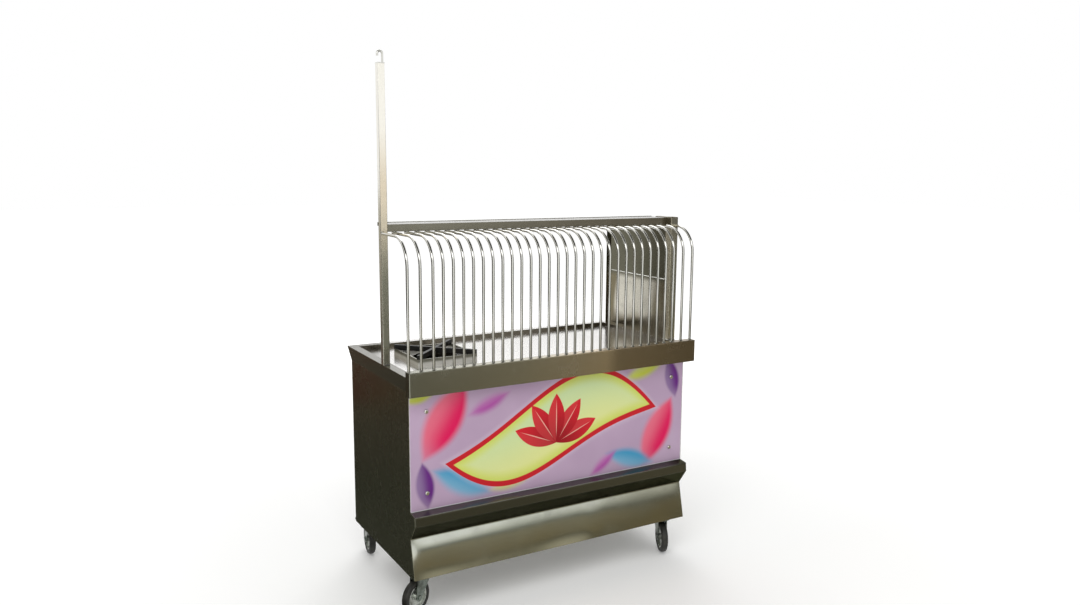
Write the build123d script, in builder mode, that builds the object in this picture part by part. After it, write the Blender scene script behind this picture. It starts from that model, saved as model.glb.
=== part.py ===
from build123d import *
import os
from math import cos, radians, sin, sqrt

os.makedirs("parts", exist_ok=True)

# Overall sizes, in millimetres
LENGTH = 1226.0  # worktop and apron, end to end
DEPTH = 640.0  # apron front to worktop back
WORKTOP_TOP = 882.0  # level border of the worktop above the floor
SHEET = 1.5  # all sheet steel
FOLD_R = 3.0  # outer radius of the sheet's folds
TUBE = 25.0  # square tube of the frame and the guard
TUBE_WALL = 1.5
TUBE_CORNER = 2.0  # outer corner radius of the tube

# Worktop
BORDER = 35.0  # flat border round the sunk well
WELL_DEPTH = 16.0
FLARE_INSET = 16.0  # side panels stand in from the worktop edge by this much
FLARE_DROP = 61.0  # sloped strip under each end of the worktop
BACK_DROP = 45.0  # turned-down back edge

# Apron along the front, which carries the rods
APRON_RISE = 20.0  # apron top above the border
APRON_HEIGHT = 86.0
APRON_DEPTH = 34.0

# Front: printed panel, ledge and skirt
PANEL_SETBACK = 50.0  # panel face behind the apron front
PANEL_THICK = 3.0
PANEL_BOTTOM = 393.0
PANEL_LAP = 16.0  # panel height hidden behind the apron
LEDGE_REACH = 38.0  # ledge top in front of the panel face
LEDGE_FALL = 5.0
LEDGE_LIP = 34.0
LEDGE_LEAN = 3.0  # lip bottom stands this far in front of its top
SKIRT_TOP = 294.0
SKIRT_KICK = 31.0  # skirt bottom stands this far in front of its top
SKIRT_FLANGE = 12.0  # upright strip that holds the skirt to the backing
BOTTOM_EDGE = 153.0  # lower edge of skirt and side panels

# Cap screws of the printed panel
SCREW_INSET = 62.0  # from the panel's ends and its bottom edge
SCREW_DROP = 67.0  # below the apron
SCREW_R = 3.0
SCREW_HOLE_GAP = 0.2
CAP_R = 8.0
CAP_HEIGHT = 7.0
CAP_ROUND = 3.0
NUT_WIDTH = 10.0
NUT_THICK = 5.0
SCREW_END = 2.0  # thread beyond the nut
THREAD_GAP = 0.05

# Bottom deck
DECK_LEG_GAP = 0.5

# Rod guard
ROD_D = 10.0
ROD_BEND = 100.0  # radius of the bend on the rod's centre line
INNER_RODS = 28
END_GAPS = 2  # wider gaps at each end of the row
END_GAP = 46.0
ROD_END_GAP = 10.0  # last rod from the apron's right end
ROD_END_INSET = 3.0  # rods stop short of the rail's back face
WELD_GAP = 0.05
RAIL_TOP = 1382.0
MAST_SETBACK = 240.0  # mast front behind the apron front
MAST_TOP = 1930.0
POST = 35.0  # square tube of the right post
POST_SETBACK = 130.0  # right post front behind the apron front
POST_PROUD = 32.0  # right post front before the rail's front
POST_RISE = 4.0  # post top above the rail top
END_BAR = 69.0  # bar behind the right post, along the tray's end
TRAY_DEPTH = 105.0
TRAY_NOSE = 3.0  # tray stands proud of the rail's front
TRAY_LIP = 10.0
GUARD_TOP_GAP = 1.0  # side guard's top below the bar
GUARD_BACK = 40.0  # side guard stops this far from the worktop's back
GUARD_FOLD = 12.0

# Hook on the mast
CAP_PLATE = 3.0
HOOK_ROD = 8.0
HOOK_BEND = 9.0
HOOK_STEM = 30.0
HOOK_TIP = 8.0

# Burner
BURNER_FROM_LEFT = 250.0
BURNER_FROM_FRONT = 356.0
BURNER_HOLE_R = 90.0
DRIP_GAP = 2.0
DRIP_FLANGE = 14.0
DRIP_DEPTH = 40.0
NECK_R = 20.0
NECK_BORE_R = 14.0
NECK_GAP = 0.3
COLLAR_R = 32.0
COLLAR_THICK = 4.0
MIXER_R = 17.0
MIXER_BORE_R = 13.0
MIXER_GAP = 9.0  # mixing tube below the drip pan
BELL_R = 24.0
BELL_LENGTH = 22.0
BELL_WALL = 3.0
HEAD_R = 55.0
HEAD_HEIGHT = 18.0
HEAD_BEVEL = 5.0
HEAD_CUP_R = 18.0
HEAD_CUP_DEPTH = 10.0
PORT_R = 1.6
PORT_DEPTH = 9.0
PORTS = 24

# Square frame round the drip pan, and the pan support on it
FRAME_GAP = 10.0  # drip pan's flange to the frame
FRAME_WALL = 5.0
FRAME_HEIGHT = 23.0
ARM_WIDTH = 13.0
ARM_RISE = 15.0  # bars above the frame's top
ARM_SINK = 4.0  # bars below the frame's top
ARM_END_INSET = 2.5  # bars' ends from the frame's outer corners
ARM_SIDE_GAP = 0.5  # sunk part of a bar from the frame's inner corner

# Gas valve and knob
STRIP_LENGTH = 220.0
STRIP_HEIGHT = 88.0
VALVE_SIZE = 26.0
VALVE_LENGTH = 44.0
JET_R = 6.0
JET_LENGTH = 24.0
JET_IN_BELL = 7.0
VALVE_NECK_R = 8.0
VALVE_NECK_OUT = 5.0
STRIP_HOLE_GAP = 0.3
VALVE_NUT_WIDTH = 20.0
VALVE_NUT_THICK = 3.5
STEM_R = 4.0
STEM_GAP = 0.05
STEM_IN = 14.0
KNOB_R = 21.0
KNOB_DISC = 6.0
KNOB_GRIP = 13.0  # width of the finger bar
KNOB_BAR = 13.0  # height of the finger bar
KNOB_GAP = 2.0
KNOB_ROUND = 1.5
STEM_IN_KNOB = 12.0
INLET_ARM_R = 6.0
INLET_ARM = 30.0  # from the valve's side to the elbow
INLET_ELBOW = 20.0
INLET_SHANK_R = 7.0
INLET_SHANK_OUT = 6.0  # behind the strip
INLET_NUT_WIDTH = 19.0
INLET_NUT_THICK = 4.0
INLET_R = 5.0
INLET_BORE_R = 3.0
INLET_LENGTH = 26.0

# Casters
CASTER_END_INSET = 73.0  # swivel from the worktop's end
CASTER_FRONT_INSET = 98.0  # swivel from the apron front
CASTER_BACK_INSET = 20.0  # swivel from the worktop's back
CASTER_HEIGHT = 152.0
WHEEL_D = 125.0
TYRE_WIDTH = 26.0
TYRE_DEPTH = 16.5
TYRE_SHOULDER = 8.0
TRAIL = 30.0  # axle behind the swivel
PAD_THICK = 5.0
PAD_LENGTH = 104.0
PAD_WIDTH = 88.0
PLATE_THICK = 4.0
PLATE_LENGTH = 102.0
PLATE_WIDTH = 86.0
PLATE_CORNER = 6.0
RACE_TOP_R = 34.0
RACE_R = 27.0
SWIVEL_PLAY = 0.3
CROWN_R = 42.0
CROWN_THICK = 5.0
CROWN_ABOVE_WHEEL = 6.0
PIN_R = 6.0
PIN_HEAD_R = 10.0
PIN_HEAD = 4.0
PIN_GAP = 0.05
FORK_SHEET = 3.0
FORK_SIDE_GAP = 3.0  # tyre to fork
EYE_R = 14.0
AXLE_R = 5.0
AXLE_GAP = 0.05
AXLE_HEAD_R = 9.0
AXLE_HEAD = 4.0
HUB_GAP = 0.5  # hub to fork
BARREL_R = 13.0
WEB_THICK = 9.0
RIM_THICK = 6.0
RIM_WIDTH = 22.0
STUD_R = 4.0
STUD_GAP = 0.3
STUD_X = 40.0  # studs from the swivel, along the counter
STUD_Y = 30.0  # and across it
STUD_NUT_WIDTH = 13.0
STUD_NUT = 6.5
STUD_END = 2.0

# How each wheel stands, as the angle from +X towards +Y in which it trails
HEADINGS = {
    "front_left": 205.0,
    "front_right": 246.7,
    "rear_left": 83.0,
    "rear_right": -25.0,
}

# Places worked out from the sizes
wheel_r = WHEEL_D / 2
rear_heading = radians(HEADINGS["rear_left"])
tread_reach = (TRAIL + wheel_r - TYRE_SHOULDER) * sin(rear_heading)
cheek_reach = (TYRE_WIDTH / 2 - TYRE_SHOULDER) * cos(rear_heading)
wheel_reach = tread_reach + cheek_reach + TYRE_SHOULDER
rear_reach = wheel_reach - CASTER_BACK_INSET  # rear-left wheel behind the worktop's back
half_length = LENGTH / 2
front_y = -(DEPTH + rear_reach) / 2
back_y = front_y + DEPTH
side_x = half_length - FLARE_INSET
inner_x = side_x - SHEET

border_under = WORKTOP_TOP - SHEET
well_floor = WORKTOP_TOP - WELL_DEPTH
well_under = well_floor - SHEET
well_x = half_length - BORDER
apron_top = WORKTOP_TOP + APRON_RISE
apron_bottom = apron_top - APRON_HEIGHT
apron_back_y = front_y + APRON_DEPTH
well_front_y = apron_back_y + BORDER
well_back_y = back_y - BORDER
flare_bottom = WORKTOP_TOP - FLARE_DROP

panel_y = front_y + PANEL_SETBACK
backing_y = panel_y + PANEL_THICK
frame_y = backing_y + SHEET
frame_bottom = CASTER_HEIGHT + PAD_THICK
front_leg_y = frame_y + TUBE / 2
rear_leg_y = back_y - SHEET - TUBE / 2
leg_x = inner_x - TUBE / 2
rail_end_x = inner_x - TUBE

ledge_nose = (panel_y - LEDGE_REACH, PANEL_BOTTOM - LEDGE_FALL)
ledge_chin = (ledge_nose[0] - LEDGE_LEAN, ledge_nose[1] - LEDGE_LIP)
skirt_y = backing_y - SHEET
skirt_foot = (skirt_y - SKIRT_KICK, BOTTOM_EDGE)
ledge_slope = (Vector(skirt_y, SKIRT_TOP) - Vector(*ledge_chin)).normalized()
ledge_end = Vector(skirt_y, SKIRT_TOP) + ledge_slope * (SHEET * ledge_slope.Y / ledge_slope.X)

mast_x = half_length - TUBE / 2
rail_left_x = TUBE - half_length
rail_right_x = half_length - POST
mast_y = front_y + MAST_SETBACK
post_y = front_y + POST_SETBACK
rail_right_y = post_y + POST_PROUD
rail_bottom = RAIL_TOP - TUBE
post_top = RAIL_TOP + POST_RISE
rod_y = front_y + APRON_DEPTH / 2
rod_level = rail_bottom - ROD_D / 2 - WELD_GAP

burner_x = BURNER_FROM_LEFT - half_length
burner_y = front_y + BURNER_FROM_FRONT
drip_bottom = well_floor - DRIP_DEPTH
head_under = drip_bottom + SHEET + COLLAR_THICK
mixer_z = drip_bottom - MIXER_GAP - MIXER_R
strip_y = back_y - SHEET
valve_back_y = strip_y - SHEET
valve_front_y = valve_back_y - VALVE_LENGTH
jet_tip_y = valve_front_y - JET_LENGTH
bell_end_y = jet_tip_y + JET_IN_BELL
strip_top = border_under - TUBE
inlet_x = burner_x + VALVE_SIZE / 2 + INLET_ARM + INLET_ELBOW / 2


def save(piece, name):
    """Label a finished piece and write its STEP file."""
    piece.part.label = name
    export_step(piece.part, f"parts/{name}.step")


def rail_front(x):
    """Front face of the guard rail, which runs askew from the mast to the right post."""
    share = (x - rail_left_x) / (rail_right_x - rail_left_x)
    return mast_y + (rail_right_y - mast_y) * share


def skewed(near, far):
    """Plan of a strip that follows the guard rail between two distances behind its front."""
    return [
        (rail_left_x, mast_y + near),
        (rail_right_x, rail_right_y + near),
        (rail_right_x, rail_right_y + far),
        (rail_left_x, mast_y + far),
    ]


def square_tube(name, plane, length, width=TUBE):
    """Square tube centred on a plane's origin and run along the plane's normal."""
    with BuildPart() as tube:
        with BuildSketch(plane):
            RectangleRounded(width, width, TUBE_CORNER)
            Rectangle(width - 2 * TUBE_WALL, width - 2 * TUBE_WALL, mode=Mode.SUBTRACT)
        extrude(amount=length)
    save(tube, name)


def along_x(x, y, z):
    """Plane at a point with its normal along the counter."""
    return Plane((x, y, z), x_dir=(0, 1, 0), z_dir=(1, 0, 0))


def along_y(x, y, z):
    """Plane at a point with its normal from front to back."""
    return Plane((x, y, z), x_dir=(1, 0, 0), z_dir=(0, 1, 0))


# Frame: four legs, with four rails round the bottom and four round the top
for end, sign in (("left", -1), ("right", 1)):
    front_foot = Plane((sign * leg_x, front_leg_y, frame_bottom))
    rear_foot = Plane((sign * leg_x, rear_leg_y, frame_bottom))
    square_tube(f"leg_front_{end}", front_foot, well_under - frame_bottom)
    square_tube(f"leg_rear_{end}", rear_foot, border_under - frame_bottom)

bottom_rail_z = frame_bottom + TUBE / 2
top_rail_z = well_under - TUBE / 2
rear_rail_z = border_under - TUBE / 2
rail_length = 2 * rail_end_x
side_rail_y = front_leg_y + TUBE / 2
side_rail_length = rear_leg_y - TUBE / 2 - side_rail_y

square_tube("bottom_rail_front", along_x(-rail_end_x, front_leg_y, bottom_rail_z), rail_length)
square_tube("bottom_rail_rear", along_x(-rail_end_x, rear_leg_y, bottom_rail_z), rail_length)
square_tube("top_rail_front", along_x(-rail_end_x, front_leg_y, top_rail_z), rail_length)
square_tube("top_rail_rear", along_x(-rail_end_x, rear_leg_y, rear_rail_z), rail_length)
for end, sign in (("left", -1), ("right", 1)):
    square_tube(f"bottom_rail_{end}", along_y(sign * leg_x, side_rail_y, bottom_rail_z), side_rail_length)
    square_tube(f"top_rail_{end}", along_y(sign * leg_x, side_rail_y, top_rail_z), side_rail_length)

# Side panels, cut at the front to the outline of panel, ledge and skirt
for end, start in (("left", -side_x), ("right", inner_x)):
    with BuildPart() as side_panel:
        with BuildSketch(Plane.YZ.offset(start)):
            Polygon(
                (back_y, BOTTOM_EDGE),
                (back_y, flare_bottom),
                (panel_y, flare_bottom),
                (panel_y, PANEL_BOTTOM),
                ledge_nose,
                ledge_chin,
                (skirt_y, SKIRT_TOP),
                skirt_foot,
                align=None,
            )
        extrude(amount=SHEET)
    save(side_panel, f"{end}_side_panel")

# Cap screw places on the front, shared by the panel, its backing and the screws
screw_span = 2 * (inner_x - SCREW_INSET)
screw_low = PANEL_BOTTOM + SCREW_INSET
screw_high = apron_bottom - SCREW_DROP
screw_middle = (screw_low + screw_high) / 2
screw_rise = screw_high - screw_low
screw_hole_r = SCREW_R + SCREW_HOLE_GAP


def front_sheet(name, face_y, thick, bottom, top):
    """Flat sheet between the side panels with the four cap screw holes."""
    with BuildPart() as sheet:
        with BuildSketch(Plane.XZ.offset(-face_y)):
            with Locations((0, (bottom + top) / 2)):
                Rectangle(2 * inner_x, top - bottom)
            with Locations((0, screw_middle)):
                with GridLocations(screw_span, screw_rise, 2, 2):
                    Circle(screw_hole_r, mode=Mode.SUBTRACT)
        extrude(amount=-thick)
    save(sheet, name)


front_sheet("front_print_panel", panel_y, PANEL_THICK, PANEL_BOTTOM, apron_bottom + PANEL_LAP)
front_sheet("front_backing_sheet", backing_y, SHEET, SKIRT_TOP, well_under)

# Cap screws through panel and backing, each with its nut behind
with BuildPart() as panel_screws:
    screw_places = [(0, screw_middle)]
    with BuildSketch(Plane.XZ.offset(-panel_y)):
        with Locations(*screw_places):
            with GridLocations(screw_span, screw_rise, 2, 2):
                Circle(CAP_R)
    extrude(amount=CAP_HEIGHT)
    fillet(panel_screws.edges().filter_by(GeomType.CIRCLE).group_by(Axis.Y)[0], CAP_ROUND)
    with BuildSketch(Plane.XZ.offset(-panel_y)):
        with Locations(*screw_places):
            with GridLocations(screw_span, screw_rise, 2, 2):
                Circle(SCREW_R)
    extrude(amount=-(PANEL_THICK + SHEET + NUT_THICK + SCREW_END))
    with BuildSketch(Plane.XZ.offset(-frame_y)):
        with Locations(*screw_places):
            with GridLocations(screw_span, screw_rise, 2, 2):
                RegularPolygon(NUT_WIDTH / 2, 6, major_radius=False)
                Circle(SCREW_R + THREAD_GAP, mode=Mode.SUBTRACT)
    extrude(amount=-NUT_THICK)
save(panel_screws, "panel_screws")


def folded_strip(name, *bends):
    """Folded sheet between the side panels; the bends are the outer outline, top to bottom."""
    with BuildPart() as strip:
        with BuildSketch(Plane.YZ.offset(-inner_x)):
            with BuildLine():
                FilletPolyline(*bends, radius=FOLD_R)
                offset(amount=SHEET, side=Side.LEFT)
            make_face()
        extrude(amount=2 * inner_x)
    save(strip, name)


folded_strip(
    "front_ledge",
    (backing_y, PANEL_BOTTOM),
    (panel_y, PANEL_BOTTOM),
    ledge_nose,
    ledge_chin,
    (ledge_end.X, ledge_end.Y),
)
folded_strip(
    "front_skirt",
    (skirt_y, SKIRT_TOP + SKIRT_FLANGE),
    (skirt_y, SKIRT_TOP),
    skirt_foot,
)

# Bottom deck on the bottom rails, notched round the legs
deck_depth = back_y - SHEET - frame_y
notch = TUBE + DECK_LEG_GAP
with BuildPart() as bottom_deck:
    with BuildSketch(Plane.XY.offset(frame_bottom + TUBE)):
        with Locations((0, frame_y + deck_depth / 2)):
            Rectangle(2 * inner_x, deck_depth)
            with GridLocations(2 * inner_x - notch, deck_depth - notch, 2, 2):
                Rectangle(notch, notch, mode=Mode.SUBTRACT)
    extrude(amount=SHEET)
save(bottom_deck, "bottom_deck")

# Worktop: border, sunk well with the burner hole, sloped ends, front and back edges turned down
worktop_depth = back_y - apron_back_y
worktop_mid_y = (back_y + apron_back_y) / 2
well_mid_y = (well_front_y + well_back_y) / 2
well_width = well_back_y - well_front_y


def turned_edge(bottom):
    """Outline of a turned-down edge, which closes the space between the two sloped ends."""
    top_x = half_length - SHEET
    bottom_x = top_x - FLARE_INSET * (border_under - bottom) / (border_under - flare_bottom)
    return [(-top_x, border_under), (-bottom_x, bottom), (bottom_x, bottom), (top_x, border_under)]


with BuildPart() as worktop:
    with BuildSketch(Plane.XY.offset(border_under)):
        with Locations((0, worktop_mid_y)):
            Rectangle(LENGTH, worktop_depth)
        with Locations((0, well_mid_y)):
            Rectangle(2 * well_x, well_width, mode=Mode.SUBTRACT)
    extrude(amount=SHEET)
    with BuildSketch(Plane.XY.offset(well_under)):
        with Locations((0, well_mid_y)):
            Rectangle(2 * (well_x + SHEET), well_width + 2 * SHEET)
    extrude(amount=WELL_DEPTH + SHEET)
    with BuildSketch(Plane.XY.offset(well_floor)):
        with Locations((0, well_mid_y)):
            Rectangle(2 * well_x, well_width)
    extrude(amount=WELL_DEPTH, mode=Mode.SUBTRACT)
    with BuildSketch(Plane.XY.offset(well_under)):
        with Locations((burner_x, burner_y)):
            Circle(BURNER_HOLE_R)
    extrude(amount=SHEET, mode=Mode.SUBTRACT)
    with BuildSketch(Plane.XZ.offset(-back_y)):
        for sign in (-1, 1):
            Polygon(
                (sign * half_length, border_under),
                (sign * side_x, flare_bottom),
                (sign * inner_x, flare_bottom),
                (sign * (half_length - SHEET), border_under),
                align=None,
            )
    extrude(amount=worktop_depth)
    with BuildSketch(Plane.XZ.offset(-apron_back_y)):
        Polygon(*turned_edge(flare_bottom), align=None)
    extrude(amount=-SHEET)
    with BuildSketch(Plane.XZ.offset(-back_y)):
        Polygon(*turned_edge(border_under - BACK_DROP), align=None)
    extrude(amount=SHEET)
save(worktop, "worktop")

# Apron: a channel open below, closed at its ends
with BuildPart() as front_apron:
    with BuildSketch(Plane.XY.offset(apron_bottom)):
        with Locations((0, front_y + APRON_DEPTH / 2)):
            Rectangle(LENGTH, APRON_DEPTH)
    extrude(amount=APRON_HEIGHT)
    fillet(front_apron.edges().filter_by(Axis.Z).group_by(Axis.Y)[0], FOLD_R)
    fillet(front_apron.faces().sort_by(Axis.Z)[-1].edges().group_by(Axis.Y)[0], FOLD_R)
    with BuildSketch(Plane.XY.offset(apron_bottom)):
        with Locations((0, front_y + APRON_DEPTH / 2)):
            Rectangle(LENGTH - 2 * SHEET, APRON_DEPTH - 2 * SHEET)
    extrude(amount=APRON_HEIGHT - SHEET, mode=Mode.SUBTRACT)
save(front_apron, "front_apron")

# Guard rods: upright from the apron, bent back level under the rail; the end ones meet mast and post
inner_left = ROD_D / 2 + END_GAPS * END_GAP - half_length
inner_right = half_length - ROD_END_GAP - ROD_D / 2 - END_GAPS * END_GAP
rod_pitch = (inner_right - inner_left) / (INNER_RODS - 1)
rod_places = [inner_left + i * rod_pitch for i in range(INNER_RODS)]
for step in range(1, END_GAPS + 1):
    rod_places = [inner_left - step * END_GAP] + rod_places + [inner_right + step * END_GAP]

with BuildPart() as guard_rods:
    for x in rod_places:
        rod_end = rail_front(x) + TUBE - ROD_END_INSET
        if x == rod_places[0]:
            rod_end = mast_y
        if x == rod_places[-1]:
            rod_end = post_y
        with BuildLine(Plane.YZ.offset(x)):
            FilletPolyline((rod_y, apron_top), (rod_y, rod_level), (rod_end, rod_level), radius=ROD_BEND)
        with BuildSketch(Plane((x, rod_y, apron_top))):
            Circle(ROD_D / 2)
        sweep()
save(guard_rods, "guard_rods")

# Guard rail between mast and right post
with BuildPart() as guard_rail:
    with BuildSketch(Plane.XY.offset(rail_bottom)):
        Polygon(*skewed(0, TUBE), align=None)
    extrude(amount=TUBE)
    with BuildSketch(Plane.XY.offset(rail_bottom + TUBE_WALL)):
        Polygon(*skewed(TUBE_WALL, TUBE - TUBE_WALL), align=None)
    extrude(amount=TUBE - 2 * TUBE_WALL, mode=Mode.SUBTRACT)
save(guard_rail, "guard_rail")

# Tray on the rail, with its back edge turned down
tray_far = TRAY_DEPTH - TRAY_NOSE
with BuildPart() as guard_tray:
    with BuildSketch(Plane.XY.offset(RAIL_TOP)):
        Polygon(*skewed(-TRAY_NOSE, tray_far), align=None)
    extrude(amount=SHEET)
    with BuildSketch(Plane.XY.offset(RAIL_TOP - TRAY_LIP)):
        Polygon(*skewed(tray_far - SHEET, tray_far), align=None)
    extrude(amount=TRAY_LIP)
save(guard_tray, "guard_tray")

# Mast, right post and the short bar that closes the tray's right end
square_tube("mast", Plane((-mast_x, mast_y + TUBE / 2, WORKTOP_TOP)), MAST_TOP - WORKTOP_TOP)
post_foot = Plane((half_length - POST / 2, post_y + POST / 2, WORKTOP_TOP))
square_tube("right_post", post_foot, post_top - WORKTOP_TOP, POST)
square_tube("tray_end_bar", along_y(rail_right_x + TUBE / 2, post_y + POST, post_top - TUBE / 2), END_BAR)

# Cap and hook on top of the mast
hook_y = mast_y + TUBE / 2
hook_low = MAST_TOP + CAP_PLATE
hook_high = hook_low + HOOK_STEM
with BuildPart() as mast_hook:
    with BuildSketch(Plane((-mast_x, hook_y, MAST_TOP))):
        Rectangle(TUBE, TUBE)
    extrude(amount=CAP_PLATE)
    with BuildLine(Plane.XZ.offset(-hook_y)):
        Line((-mast_x + HOOK_BEND, hook_low), (-mast_x + HOOK_BEND, hook_high))
        CenterArc((-mast_x, hook_high), HOOK_BEND, 0, 180)
        Line((-mast_x - HOOK_BEND, hook_high), (-mast_x - HOOK_BEND, hook_high - HOOK_TIP))
    with BuildSketch(Plane((-mast_x + HOOK_BEND, hook_y, hook_low))):
        Circle(HOOK_ROD / 2)
    sweep()
save(mast_hook, "mast_hook")

# Side guard behind the right post, folded along its back and top edges
guard_start = post_y + POST
guard_end = back_y - GUARD_BACK
guard_top = post_top - TUBE - GUARD_TOP_GAP
guard_height = guard_top - WORKTOP_TOP
with BuildPart() as right_guard_panel:
    with BuildSketch(Plane.YZ.offset(mast_x)):
        with Locations(((guard_start + guard_end) / 2, WORKTOP_TOP + guard_height / 2)):
            Rectangle(guard_end - guard_start, guard_height)
    extrude(amount=SHEET)
    with BuildSketch(Plane.XY.offset(guard_top - SHEET)):
        with Locations((mast_x - GUARD_FOLD / 2, (guard_start + guard_end) / 2)):
            Rectangle(GUARD_FOLD, guard_end - guard_start)
    extrude(amount=SHEET)
    with BuildSketch(Plane.XY.offset(WORKTOP_TOP)):
        with Locations((mast_x - GUARD_FOLD / 2, guard_end - SHEET / 2)):
            Rectangle(GUARD_FOLD, SHEET)
    extrude(amount=guard_height)
save(right_guard_panel, "right_guard_panel")

# Drip pan hung in the worktop's burner hole
drip_r = BURNER_HOLE_R - DRIP_GAP
with BuildPart() as drip_pan:
    with BuildSketch(Plane((burner_x, burner_y, well_floor))):
        Circle(BURNER_HOLE_R + DRIP_FLANGE)
    extrude(amount=SHEET)
    with BuildSketch(Plane((burner_x, burner_y, drip_bottom))):
        Circle(drip_r)
    extrude(amount=DRIP_DEPTH)
    with BuildSketch(Plane((burner_x, burner_y, drip_bottom + SHEET))):
        Circle(drip_r - SHEET)
    extrude(amount=DRIP_DEPTH, mode=Mode.SUBTRACT)
    with BuildSketch(Plane((burner_x, burner_y, drip_bottom))):
        Circle(NECK_R + NECK_GAP)
    extrude(amount=SHEET, mode=Mode.SUBTRACT)
save(drip_pan, "drip_pan")

# Burner body: upright neck with its collar on the pan, and the mixing tube to the valve
mixer_length = bell_end_y - burner_y
with BuildPart() as burner_body:
    with BuildSketch(Plane((burner_x, burner_y, mixer_z - NECK_R))):
        Circle(NECK_R)
    extrude(amount=head_under - mixer_z + NECK_R)
    with BuildSketch(Plane((burner_x, burner_y, drip_bottom + SHEET))):
        Circle(COLLAR_R)
    extrude(amount=COLLAR_THICK)
    with BuildSketch(along_y(burner_x, burner_y, mixer_z)):
        Circle(MIXER_R)
    extrude(amount=mixer_length)
    with BuildSketch(along_y(burner_x, bell_end_y - BELL_LENGTH, mixer_z)):
        Circle(BELL_R)
    extrude(amount=BELL_LENGTH)
    with BuildSketch(Plane((burner_x, burner_y, mixer_z - MIXER_R))):
        Circle(NECK_BORE_R)
    extrude(amount=head_under - mixer_z + MIXER_R, mode=Mode.SUBTRACT)
    with BuildSketch(along_y(burner_x, burner_y, mixer_z)):
        Circle(MIXER_BORE_R)
    extrude(amount=mixer_length, mode=Mode.SUBTRACT)
    with BuildSketch(along_y(burner_x, bell_end_y - BELL_LENGTH + BELL_WALL, mixer_z)):
        Circle(BELL_R - BELL_WALL)
    extrude(amount=BELL_LENGTH - BELL_WALL, mode=Mode.SUBTRACT)
save(burner_body, "burner_body")

# Burner head on the collar, down in the drip pan, with a ring of flame ports
with BuildPart() as burner_head:
    with BuildSketch(Plane((burner_x, burner_y, head_under))):
        Circle(HEAD_R)
    extrude(amount=HEAD_HEIGHT)
    chamfer(burner_head.edges().group_by(Axis.Z)[-1], HEAD_BEVEL)
    with BuildSketch(Plane((burner_x, burner_y, head_under + HEAD_HEIGHT - HEAD_CUP_DEPTH))):
        Circle(HEAD_CUP_R)
    extrude(amount=HEAD_CUP_DEPTH, mode=Mode.SUBTRACT)
    for port in range(PORTS):
        way = radians(360 / PORTS * port)
        out = Vector(cos(way), sin(way), 0)
        mouth = Vector(burner_x, burner_y, head_under + HEAD_HEIGHT / 2) + out * HEAD_R
        with BuildSketch(Plane(mouth, z_dir=out)):
            Circle(PORT_R)
        extrude(amount=-PORT_DEPTH, mode=Mode.SUBTRACT)
save(burner_head, "burner_head")

# Square frame of flat bar on edge, standing on the well floor round the drip pan
frame_inside = 2 * (BURNER_HOLE_R + DRIP_FLANGE + FRAME_GAP)
frame_outside = frame_inside + 2 * FRAME_WALL
with BuildPart() as support_frame:
    with BuildSketch(Plane((burner_x, burner_y, well_floor))):
        Rectangle(frame_outside, frame_outside)
        Rectangle(frame_inside, frame_inside, mode=Mode.SUBTRACT)
    extrude(amount=FRAME_HEIGHT)
save(support_frame, "support_frame")

# Pan support: two crossed bars along the frame's diagonals, notched to sit on its corners
frame_top = well_floor + FRAME_HEIGHT
arm_reach = frame_outside / sqrt(2) - ARM_END_INSET
sunk_reach = frame_inside / sqrt(2) - ARM_WIDTH / 2 - ARM_SIDE_GAP
with BuildPart() as pan_support:
    for turn in (45, 135):
        seat = Plane((burner_x, burner_y, frame_top)).rotated((0, 0, turn))
        with BuildSketch(seat):
            Rectangle(2 * arm_reach, ARM_WIDTH)
        extrude(amount=ARM_RISE)
        with BuildSketch(seat):
            Rectangle(2 * sunk_reach, ARM_WIDTH)
        extrude(amount=-ARM_SINK)
save(pan_support, "pan_support")

# Control strip under the rear top rail, with the holes for valve and nozzle
with BuildPart() as control_strip:
    with BuildSketch(Plane.XZ.offset(-strip_y)):
        with Locations((burner_x, strip_top - STRIP_HEIGHT / 2)):
            Rectangle(STRIP_LENGTH, STRIP_HEIGHT)
        with Locations((burner_x, mixer_z)):
            Circle(VALVE_NECK_R + STRIP_HOLE_GAP, mode=Mode.SUBTRACT)
        with Locations((inlet_x, mixer_z)):
            Circle(INLET_SHANK_R + STRIP_HOLE_GAP, mode=Mode.SUBTRACT)
    extrude(amount=SHEET)
    with BuildSketch(Plane.XY.offset(strip_top)):
        with Locations((burner_x, strip_y - TUBE / 2)):
            Rectangle(STRIP_LENGTH, TUBE)
    extrude(amount=-SHEET)
save(control_strip, "control_strip")

# Gas valve on the strip: body with its jet in the mixing tube, and the nut that holds it
neck_length = 2 * SHEET + VALVE_NUT_THICK + VALVE_NECK_OUT
neck_end_y = valve_back_y + neck_length
with BuildPart() as gas_valve:
    with BuildSketch(along_y(burner_x, valve_front_y, mixer_z)):
        Rectangle(VALVE_SIZE, VALVE_SIZE)
    extrude(amount=VALVE_LENGTH)
    with BuildSketch(along_y(burner_x, jet_tip_y, mixer_z)):
        Circle(JET_R)
    extrude(amount=JET_LENGTH)
    with BuildSketch(along_y(burner_x, valve_back_y, mixer_z)):
        Circle(VALVE_NECK_R)
    extrude(amount=neck_length)
    with BuildSketch(along_y(burner_x, valve_back_y - STEM_IN, mixer_z)):
        Circle(STEM_R + STEM_GAP)
    extrude(amount=STEM_IN + neck_length, mode=Mode.SUBTRACT)
    with BuildSketch(along_y(burner_x, strip_y, mixer_z)):
        RegularPolygon(VALVE_NUT_WIDTH / 2, 6, major_radius=False)
        Circle(VALVE_NECK_R + THREAD_GAP, mode=Mode.SUBTRACT)
    extrude(amount=VALVE_NUT_THICK)
save(gas_valve, "gas_valve")

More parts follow.
